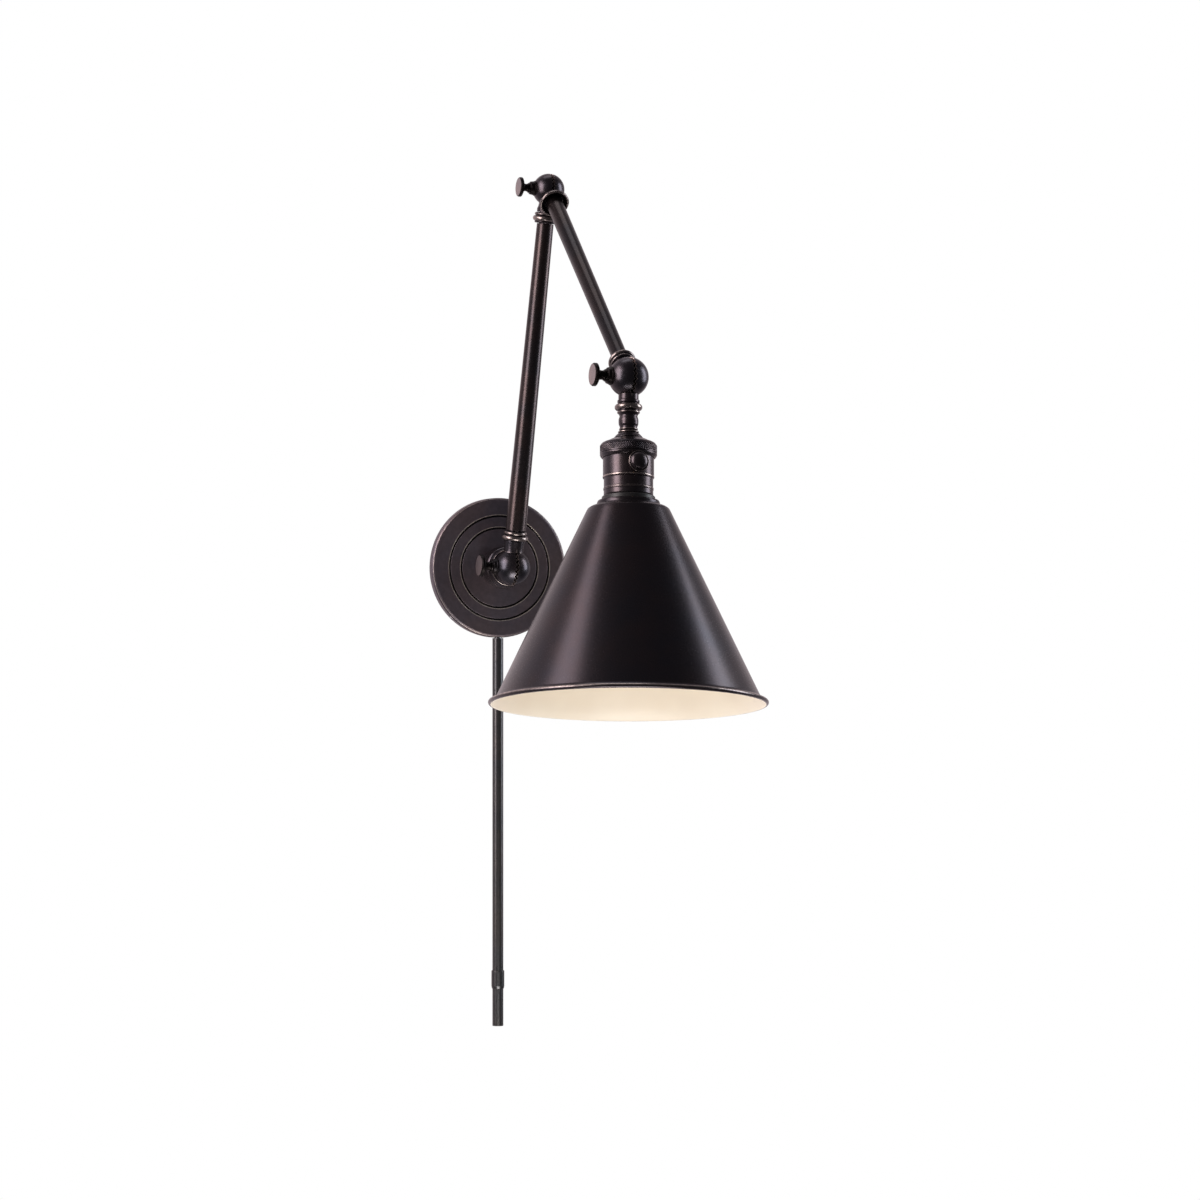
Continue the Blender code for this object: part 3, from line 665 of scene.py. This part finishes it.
def build_wall_side():
    # backplate: pressed canopy, two turned grooves with a raised worn lip each
    gi, go, R = 34.4, 44.8, 60.3

    def groove(g):
        return [(g - 1.15, 0.0, 0.35, 0.0), (g - 0.45, -0.95, 0.25, 0),
                (g + 0.25, -0.95, 0.25, 0), (g + 0.45, -0.4, 0.0, 0),
                (g + 0.62, 0.0, 0.25, 1.0), (g + 1.15, 0.0, 0.0, 1.0),
                (g + 1.4, 0.0, 0.0, 0)]

    prof = [(5.4, 0.0, 0.3, 0.2)] + groove(gi) + groove(go) + \
        [(R - 2.3, 0.0, 0.6, 0.0), (R - 1.0, -0.45, 0.5, 0.7), (R, -1.7, 0.9, 0.1),
         (R, -9.3 + 0.5, 0.0, 0.1), (R - 0.1, -9.3, 0.25, 0.5), (R - 1.5, -9.3, 0.3, 0.2),
         (R - 1.5, -2.3, 0.8, 0), (R - 2.6, -1.5, 0.8, 0), (5.4, -1.5, 0.3, 0)]
    plate = lathe("backplate_shell", prof, [M_PLATE, M_BLACK_BRONZE_AND_GROOVE_SHADE], PLATE, 256,
                  steps=6)
    to_plate = PLATE.inverted()
    for poly in plate.data.polygons:      # painted shade: the grooves are painted black
        c = to_plate @ poly.center / MM
        r = math.hypot(c.x, c.y)
        if -1.2 < c.z < -0.12 and min(abs(r - gi), abs(r - go)) < 1.2:
            poly.material_index = 1
    tools = [lathe("t", [(0.0, 52.0), (3.4, 52.0), (3.4, 66.0), (0.0, 66.0)], [],
                   COVER @ Matrix.Rotation(math.pi, 4, 'X'), 48, raw=True)]
    bar = Matrix.Rotation(math.radians(-45.0), 4, 'Y')
    for side in (1, -1):
        m = bar @ Matrix.Translation((0, -0.0044, 0)) @ \
            Matrix.Rotation(math.radians(90.0 * side), 4, 'Y')
        tools.append(lathe("t", [(0.0, 57.9), (2.1, 57.9), (2.1, 64.0), (0.0, 64.0)], [],
                           m, 40, raw=True))
    cut(plate, tools, 34.0)
    place(plate, "wall_bracket", "bronze", "backplate")

    # cord cover: drawn tube, snap-on coupler and the short lower length
    top = -60.3 - 0.4
    up = lathe("cover_tube_upper", [(3.7, top, 0.15), (4.73, top, 0.2, 0.3),
                                    (4.73, -354.6, 0.2), (3.7, -354.6, 0.15)],
               M_COVER, COVER, 96)
    place(up, "wall_bracket", "cover_bronze", "cord_cover_upper_tube")
    low = lathe("cover_tube_lower", [(3.7, -355.6, 0.15), (4.73, -355.6, 0.2),
                                     (4.73, -395.4, 0.2, 0.4), (3.7, -395.4, 0.15, 0.3)],
                M_COVER, COVER, 96)
    place(low, "wall_bracket", "cover_bronze", "cord_cover_lower_tube")
    sleeve = lathe("cover_coupler",
                   [(4.93, -347.6, 0.1), (5.3, -347.6, 0.2, 0.4),
                    (5.6, -348.0, 0.2, 0.3), (5.6, -361.0, 0.4, 0.2),
                    (5.18, -363.2, 0.15, 0.5), (4.93, -363.2, 0.08)], M_COVER, COVER, 96)
    cut(sleeve, [block("t", ROOT, (-7, -0.8, -370), (7, 9.2, -340))], 34.0)
    place(sleeve, "wall_bracket", "cover_bronze", "cord_cover_coupler")

    # the steel behind the backplate keeps its CAD shape, with softened edges
    for node, mat in (("mounting_crossbar", M_STEEL), ("canopy_set_screw_upper", M_STEEL),
                      ("canopy_set_screw_lower", M_STEEL), ("post_nipple", M_STEEL),
                      ("post_washer", M_STEEL), ("post_hex_nut", M_STEEL),
                      ("head_nipple", M_STEEL), ("cord_cover_nipple", M_STEEL),
                      ("fibre_washer", M_FIBRE), ("socket_liner", M_FIBRE),
                      ("lower_arm_lead", M_LEAD), ("upper_arm_lead", M_LEAD),
                      ("switch_shaft", M_BRASS)):
        finish_cad(node, mat)


def finish_cad(node, mat):
    obj = frame["nodes"][node]
    obj.data.materials.clear()
    obj.data.materials.append(mat)
    obj.data.shade_smooth()
    obj.data.set_sharp_from_angle(angle=math.radians(32.0))
    weld = obj.modifiers.new("weld", 'WELD')
    weld.merge_threshold = 1e-6
    bev = obj.modifiers.new("soft", 'BEVEL')
    bev.width = 0.00015
    bev.segments = 2
    bev.limit_method = 'ANGLE'
    bev.angle_limit = math.radians(40.0)


def build_post():
    ball, seat_r = 34.9, 16.05
    a0, a1 = math.degrees(math.acos(8.0 / seat_r)), math.degrees(math.asin(7.9 / seat_r))
    seat = []
    for i in range(15):
        a = math.radians(a0 + (a1 - a0) * i / 14)
        seat.append((seat_r * math.sin(a), ball - seat_r * math.cos(a), 0, 0))
    cup = [(5.5, 1.0, 0.2), (13.2, 1.0, 0.6, 0.1), (15.8, 2.4, 1.6, 0.0),
           (17.8, 6.2, 4.0, 0.0), (18.45, 10.5, 5.0, 0.05), (18.0, 15.6, 5.0, 0.0),
           (17.5, 19.3, 0.5, 0.55), (17.0, 20.0, 0.25, 0.1), (16.5, 20.5, 0.25, 0),
           (16.5, 21.2, 0.25, 0), (17.0, 21.7, 0.35, 0.75), (16.6, 24.6, 3.0, 0.1),
           (15.5, 26.9, 0.45, 1.0)] + seat + [(7.9, 9.0, 0.2), (5.5, 9.0, 0.2)]
    obj = lathe("post_cup_shell", cup, M_BRONZE, POST, 192)
    place(obj, "post", "bronze", "post_cup")
    tail = [(7.5, 16.5, 0, 0), (7.5, 25.4, 0.3, 0.1), (5.25, 25.4, 0.2), (5.25, 17.8, 0.2),
            (0.0, 17.8)]
    split_half("wall_ball_right", WALL_BALL_BACK, 15.6, 1, 7.5, 1.2, tail, "post",
               "wall_ball_fixed_half", M_BRONZE)


def build_lower():
    L = LOWER_LENGTH
    tail = [(8.4, 18.4, 0, 0), (8.8, 22.9, 0.3, 0.2), (6.9, 22.9, 0.2), (6.9, 40.0, 0.5),
            (0.0, 40.0)]
    split_half("wall_ball_left", LOW, 15.6, -1, 8.3, 1.6, tail, "lower_arm",
               "wall_ball_arm_half", M_BRONZE)
    collar = [(7.2, 23.2, 0.1), (9.2, 23.2, 0.15, 0.1)] + bead(11.3, 25.7, 2.2, 0.75) + \
        [(9.0, 27.95, 0.1, 0)] + bead(9.9, 29.7, 1.6, 0.65) + \
        [(8.9, 31.6, 0.3, 0.1), (7.2, 32.0, 0.1)]
    obj = lathe("lower_collar_bottom", collar, M_BRONZE, LOW, 144)
    place(obj, "lower_arm", "bronze", "lower_arm_bottom_collar")
    end = L - 28.8
    tube = [(7.6, 32.3, 0.1), (8.8, 32.3, 0.25, 0.2), (7.1, end, 0.25, 0.2),
            (5.9, end, 0.1)]
    obj = lathe("lower_tube", tube, M_TUBE, LOW, 144)
    place(obj, "lower_arm", "bronze", "lower_arm_tube")
    top = [(5.75, 19.3, 0.1), (8.6, 19.3, 0.2, 0.1)] + bead(9.7, 20.75, 1.15, 0.5) + \
        [(8.5, 22.0, 0.15, 0)] + bead(11.0, 24.4, 2.3, 0.8) + \
        [(9.4, 26.9, 0.3, 0.0), (9.0, 28.3, 0.3, 0.2), (5.75, 28.5, 0.1)]
    obj = lathe("lower_collar_top", top, M_BRONZE, LOW_END, 144)
    place(obj, "lower_arm", "bronze", "lower_arm_top_collar")
    tail = [(7.35, 14.4, 0, 0), (8.1, 16.2, 1.0, 0), (8.1, 19.0, 0.25, 0.15),
            (5.4, 19.0, 0.2), (5.4, 40.0, 0.4), (0.0, 40.0)]
    split_half("elbow_ball_left", LOW_END, 13.4, -1, 7.0, 1.0, tail, "lower_arm",
               "elbow_ball_lower_half", M_BRONZE)


def build_upper():
    L = UPPER_LENGTH
    tail = [(6.0, 13.2, 0, 0), (6.2, 14.4, 0.2, 0.1), (5.3, 14.4, 0.2), (5.3, 34.0, 0.4),
            (0.0, 34.0)]
    split_half("elbow_ball_right", UP, 13.4, 1, 5.9, 0.6, tail, "upper_arm",
               "elbow_ball_upper_half", M_BRONZE)
    flare = [(5.6, 14.7, 0.1), (7.5, 14.7, 0.4, 0.1), (8.9, 16.6, 1.5, 0),
             (11.1, 18.7, 1.2, 0.1), (12.4, 20.8, 1.1, 0.5), (12.5, 22.4, 0.7, 0.95),
             (11.7, 23.4, 0.6, 1.0), (10.7, 23.2, 0.5, 0.8), (9.8, 20.8, 0.8, 0),
             (8.4, 18.7, 0.8, 0), (7.2, 18.3, 0.2, 0), (5.6, 18.3, 0.1)]
    obj = lathe("upper_collar_elbow", flare, M_BRONZE, UP, 144, steps=8)
    place(obj, "upper_arm", "bronze", "upper_arm_elbow_collar")
    end = L - 24.2
    tube = [(5.9, 18.9, 0.1), (7.1, 18.9, 0.25, 0.1), (6.25, end, 0.25, 0.2),
            (5.05, end, 0.1)]
    # the upper tube takes the darker copy of the tube bronze: painted shade
    obj = lathe("upper_tube", tube, M_TUBE_PAINTED_SHADE, UP, 144)
    place(obj, "upper_arm", "bronze", "upper_arm_tube")
    ring = [(4.6, 16.9, 0.1), (8.6, 16.9, 0.2, 0.2)] + bead(10.0, 18.2, 1.15, 0.6) + \
        [(9.1, 19.45, 0.1, 0)] + bead(11.0, 21.6, 2.0, 0.7) + \
        [(7.6, 23.7, 0.2, 0.1), (4.6, 23.9, 0.1)]
    obj = lathe("upper_collar_knuckle", ring, M_BRONZE, UP_END, 144)
    place(obj, "upper_arm", "bronze", "upper_arm_knuckle_collar")
    tail = [(8.2, 16.0, 0, 0), (8.2, 16.6, 0.2, 0.1), (4.3, 16.6, 0.2), (4.3, 36.0, 0.3),
            (0.0, 36.0)]
    split_half("knuckle_ball_left", UP_END, 15.9, -1, 8.2, 1.6, tail, "upper_arm",
               "knuckle_ball_arm_half", M_BRONZE)


def knurl(count, pitch, depth, z0, z1):
    """Diamond knurl as a change of radius between two heights."""
    def shape(phi, i, r, z):
        if not z0 < z < z1 or r < 21.0:
            return 0.0
        u = phi / (2 * math.pi) * count
        v = z / pitch
        a = abs(((u + v) % 1.0) * 2 - 1)
        b = abs(((u - v) % 1.0) * 2 - 1)
        fade = min(1.0, (z - z0) / 0.5, (z1 - z) / 0.5)
        return -depth * fade * (1.0 - min(1.0, 1.5 * min(a, b)))
    return shape


def build_head():
    tail = [(7.95, 18.3, 0, 0), (8.75, 18.9, 0.3, 0.6), (8.75, 20.4, 0.3, 0.4),
            (8.4, 21.2, 0.2, 0), (4.55, 21.2, 0.1),
            (4.55, 16.8, 0.2), (0.0, 16.8)]
    split_half("knuckle_ball_right", HEAD, 15.9, 1, 7.9, 1.7, tail, "head",
               "knuckle_ball_head_half", M_BRONZE)
    neck = [(4.55, 21.5, 0.1), (8.5, 21.5, 0.2, 0.1)] + bead(10.9, 24.3, 2.5, 0.7) + \
        [(8.5, 27.2, 0.2, 0)] + bead(8.95, 28.4, 0.8, 0.7) + \
        [(8.0, 29.4, 0.3, 0), (6.95, 31.2, 1.5, 0), (7.75, 34.0, 3.0, 0.1),
         (7.85, 35.5, 3.0, 0.15), (7.7, 38.0, 2.0, 0.1), (6.9, 39.8, 0.8, 0)] + \
        bead(7.45, 41.8, 0.75, 0.6) + [(6.95, 43.0, 0.2, 0)] + \
        bead(8.25, 44.1, 0.7, 0.6) + [(8.2, 45.2, 0.4, 0), (9.1, 46.0, 0.8, 0),
                                      (10.2, 47.1, 0.8, 0.1), (11.2, 48.3, 0.2, 0.4),
                                      (11.2, 48.6, 0.1, 0.3), (4.55, 48.6, 0.1)]
    obj = lathe("neck_turning", neck, M_BRONZE, HEAD, 144)
    place(obj, "head", "bronze", "turned_neck")

    # socket cap with a diamond knurl, a smooth lower band and a rolled lip
    cap = [(4.6, 48.9, 0.1), (11.2, 48.9, 0.2, 0.1), (14.5, 50.2, 1.5, 0),
           (16.5, 51.3, 1.5, 0), (19.0, 52.2, 1.5, 0), (21.0, 53.25, 0.9, 0.2),
           (22.0, 54.6, 0.6, 0.35)]
    z = 55.3
    knurl_rows = []
    while z < 60.6:
        knurl_rows.append((22.4, z, 0, 0.28))
        z += 0.24
    cap += knurl_rows + [(22.4, 60.9, 0.1, 0.3), (21.9, 61.1, 0.1, 0),
                         (21.9, 61.5, 0.1, 0), (22.4, 61.8, 0.2, 0.4),
                         (22.4, 62.4, 0.3, 0.45), (21.9, 63.6, 0.4, 0.4),
                         (21.2, 64.6, 0.3, 0.5), (20.35, 64.6, 0.15, 0.1),
                         (20.35, 54.5, 0.8), (16.8, 52.7, 1.0), (4.6, 50.4, 0.1)]
    obj = lathe("socket_cap_knurled", cap, M_BRONZE, HEAD, 576,
                displace=knurl(84, 1.65, 0.40, 55.2, 60.5))
    place(obj, "head", "bronze", "socket_cap")
    R = 20.0
    shell = [(R - 0.8, 56.6, 0.1), (R, 56.6, 0.2), (R, 78.9, 0.1, 0.0)] + \
        bead(R + 0.25, 79.9, 0.7, 0.9, 10, 0.45) + \
        [(R - 0.1, 80.8, 0.1, 0), (R - 0.7, 81.5, 0.2, 0), (R - 0.7, 88.1, 0.2, 0),
         (R - 0.3, 88.9, 0.25, 0.9), (R - 0.3, 89.9, 0.25, 0.9),
         (R - 0.65, 90.6, 0.15, 0), (R - 0.65, 94.1, 0.2, 0.2),
         (R - 0.9, 94.6, 0.1, 0.5), (R - 1.25, 94.6, 0.08), (R - 1.25, 82.0, 0.2),
         (R - 0.8, 80.4, 0.3)]
    shell = lathe("socket_shell_drawn", shell, M_BRONZE, HEAD, 192)
    hole = lathe("t", [(0.0, 12.0), (3.0, 12.0), (3.0, 26.0), (0.0, 26.0)], [],
                 SWITCH, 48, raw=True)
    cut(shell, [hole], 34.0)
    place(shell, "head", "bronze", "socket_shell")
    # moulded holder with a threaded skirt
    skirt = []
    z = 99.0
    while z < 104.6:
        skirt += [(17.1, z, 0, 0), (17.45, z + 0.35, 0, 0), (17.45, z + 0.75, 0, 0),
                  (17.1, z + 1.1, 0, 0)]
        z += 1.5
    holder = [(4.4, 57.0, 0.2), (17.5, 57.0, 0.4), (17.5, 95.2, 0.1),
              (20.2, 95.2, 0.2), (20.9, 95.9, 0.3), (20.9, 98.5, 0.25),
              (17.3, 98.5, 0.1)] + skirt + \
        [(17.1, 105.4, 0.1), (16.9, 106.0, 0.3), (14.4, 106.0, 0.4), (14.4, 71.0, 0.3),
         (4.4, 71.0, 0.2)]
    obj = lathe("lamp_holder_moulding", holder, M_PHENOLIC, HEAD, 128)
    place(obj, "head", "black_moulding", "lamp_holder")
    # rolled brass thread: the wave climbs once per turn
    rows = [71.3 + 0.35 * i for i in range(int((101.0 - 71.3) / 0.35) + 1)]
    outer = [(13.75, z, 0, 0) for z in rows]
    inner = [(13.35, z, 0, 0) for z in reversed(rows)]

    def wave(phi, i, r, z):
        fade = max(0.0, min(1.0, (z - 71.6) / 1.5, (100.8 - z) / 1.0))
        return 0.20 * fade * math.sin(2 * math.pi * z / 3.62 - phi) - 0.02

    obj = lathe("lamp_thread", outer + inner, M_BRASS, HEAD, 128, raw=True,
                displace=wave)
    place(obj, "head", "brass", "lamp_screw_shell")
    contact = [(0.0, 71.3), (6.2, 71.3, 0.2), (6.2, 71.9, 0.2), (3.6, 72.6, 0.8),
               (2.6, 74.3, 0.8), (0.0, 74.9)]
    obj = lathe("lamp_contact", contact, M_BRASS, HEAD, 64)
    place(obj, "head", "brass", "lamp_centre_contact")
    build_shade()
    # ring nut with finger notches, seen up inside the shade
    def notches(phi, i, r, z):
        return -0.7 * max(0.0, math.cos(phi * 24)) ** 2 if r > 22.0 and z > 101.0 else 0.0
    nut = [(17.8, 100.2, 0.2), (22.9, 100.2, 0.3, 0.1), (22.9, 101.4),
           (22.9, 102.2), (22.9, 103.6), (22.9, 104.3, 0.3), (21.9, 104.8, 0.3),
           (17.8, 104.8, 0.3)]
    obj = lathe("ring_nut", nut, M_PHENOLIC, HEAD, 288, displace=notches)
    place(obj, "head", "black_moulding", "shade_ring_nut")


def build_shade():
    """Spun cone with a stepped collar, a soft shoulder and a wired, rolled rim."""
    top, t = 98.8, 0.9
    slope = math.atan(0.4762)
    ox, oz = -t * math.cos(slope), t * math.sin(slope)
    br, bz, bead_r = 106.86, 257.3, 1.72

    def cone_r(z):
        return 0.4762 * z - 18.08

    outer = [(17.8, top, 0.15, 0.1), (24.0, top + 0.1, 0.4, 0.4), (24.6, 100.3, 0.4, 0.2),
             (24.7, 102.2, 0.7, 0.0), (29.8, 103.9, 1.2, 0.05), (32.0, 105.4, 1.3, 0.15),
             (cone_r(107.6), 107.6, 0.0, 0.0)]
    prof = rounded_open(outer)
    z0, z1 = 108.4, 253.2
    for k in range(25):
        z = z0 + (z1 - z0) * k / 24
        prof.append((cone_r(z), z, 0.0))
    prof += [(cone_r(254.0), 254.0, 0.0), (103.6, 254.8, 0.0), (104.7, 255.5, 0.1)]
    n_rim = 0
    for k in range(19):
        f = k / 18
        deg = -120.0 + 260.0 * f
        a = math.radians(deg)
        prof.append((br + bead_r * math.cos(a), bz + bead_r * math.sin(a),
                     0.8 * max(0.0, math.sin(math.pi * min(1.0, f * 1.9)))))
        if deg < 100.0:
            n_rim = len(prof)
    prof += [(104.4, 257.2, 0.0), (103.2, 255.4, 0.0)]
    for k in range(25):
        z = z1 - (z1 - z0) * k / 24
        prof.append((cone_r(z) + ox, z + oz, 0.0))
    back = [(31.2, 106.3, 1.2), (29.2, 104.9, 1.0), (23.7, 103.2, 0.6),
            (23.5, 99.9, 0.4), (17.8, 99.9, 0.1)]
    prof += rounded_open(back)
    pts = [(p[0], p[1], 0, p[2]) for p in prof]

    def pick(i):
        return 1 if n_rim - 1 <= i else 0

    obj = lathe("shade_cone", pts, [M_SHADE, M_ENAMEL], HEAD, 320, raw=True,
                face_mat=pick)
    place(obj, "head", "shade_bronze", "shade")


def rounded_open(points):
    """rounded() for a run of points inside a longer profile."""
    first, last = points[0], points[-1]
    a = (first[0] - (points[1][0] - first[0]), first[1] - (points[1][1] - first[1]))
    pts = [(0.0, a[1]), *points, (0.0, last[1])]
    out = rounded(pts)
    out = out[1:-1]
    return out


def build_switch():
    r = 8.25
    prof = [(0.0, 22.9), (r - 0.4, 22.9, 0.2), (r, 23.3, 0.3, 0.8), (r, 24.0, 0.3, 0.9),
            (r - 0.55, 24.35, 0.2, 0.6), (r - 1.0, 24.1, 0.25, 0.0)]
    steps = 16
    for k in range(steps + 1):
        a = math.radians(8.0 + 82.0 * k / steps)
        prof.append(((r - 1.25) * math.cos(a), 23.9 + 4.5 * math.sin(a), 0, 0.12))
    prof[-1] = (0.0, 28.4)
    obj = lathe("switch_dome", prof, M_BRONZE, SWITCH, 96)
    place(obj, "switch", "bronze", "switch_knob")


def build_stage():
    mesh = bpy.data.meshes.new("floor")
    bm = bmesh.new()
    bmesh.ops.create_circle(bm, cap_ends=True, radius=2.4, segments=96)
    bm.to_mesh(mesh)
    bm.free()
    floor = new_object("floor", mesh, [plain("pale_floor", (0.86, 0.86, 0.86), 0.7, 0.0,
                                             0.02, 0.02, 30.0)])
    floor.location = (0.0, -0.25, -3.2)


build_wall_side()
build_post()
build_lower()
build_upper()
build_head()
build_switch()
clamp("wall", P1, P2 - P1, 15.6, 19.2, 29.9, "wall_clamp", "lower_arm")
clamp("elbow", P2, P2 - P1, 13.4, 16.5, 27.05, "elbow_clamp", "lower_arm")
clamp("knuckle", P3, P3 - P2, 15.9, 18.4, 30.47, "knuckle_clamp", "upper_arm")
build_stage()
